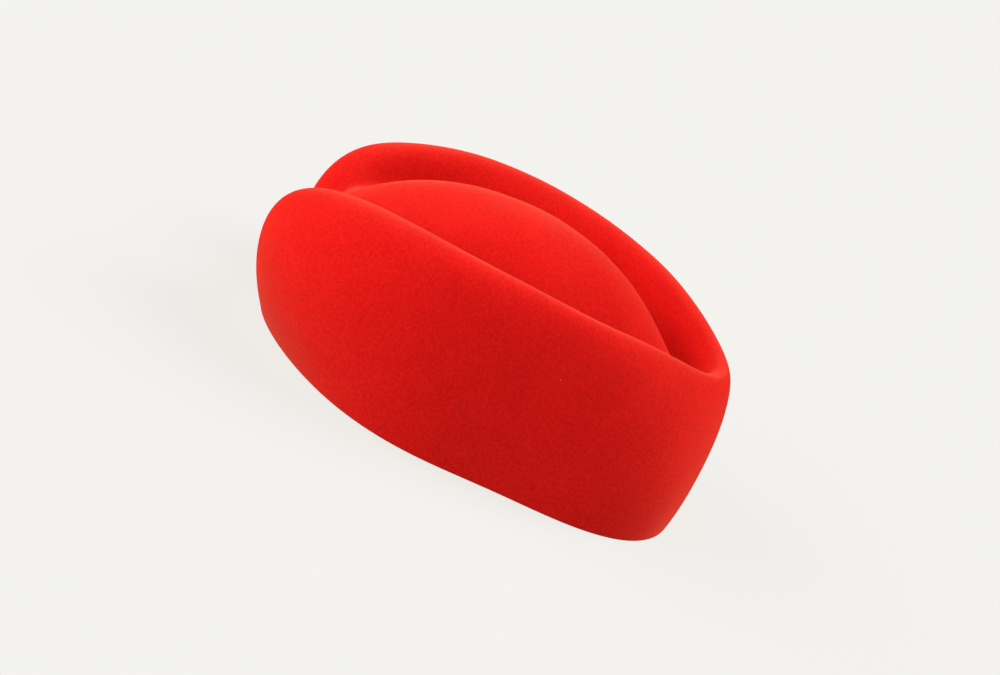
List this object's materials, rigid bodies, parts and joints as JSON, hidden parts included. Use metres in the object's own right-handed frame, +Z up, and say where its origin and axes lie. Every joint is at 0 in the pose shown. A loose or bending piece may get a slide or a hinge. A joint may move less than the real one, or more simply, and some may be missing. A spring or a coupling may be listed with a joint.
{
  "type": "pillbox hat",
  "caption": "Seamless blocked felt cap with a tall swelling wall, a raised ridge that dips at the back and into a cleft at the front, a channel inside it and a long low dome.",
  "frame": {"origin": "middle of the hat's length and width, on the surface that its rim rests on", "axes": "+Z up through the dome, -Y to the front of the hat, +X to the wearer's left"},
  "size_m": [0.1806, 0.2036, 0.0859],
  "materials": {
    "wool_felt": "matte blocked wool felt with a fine short nap"
  },
  "bodies": {
    "root": {"felt_crown": "wool_felt"}
  },
  "joints": []
}
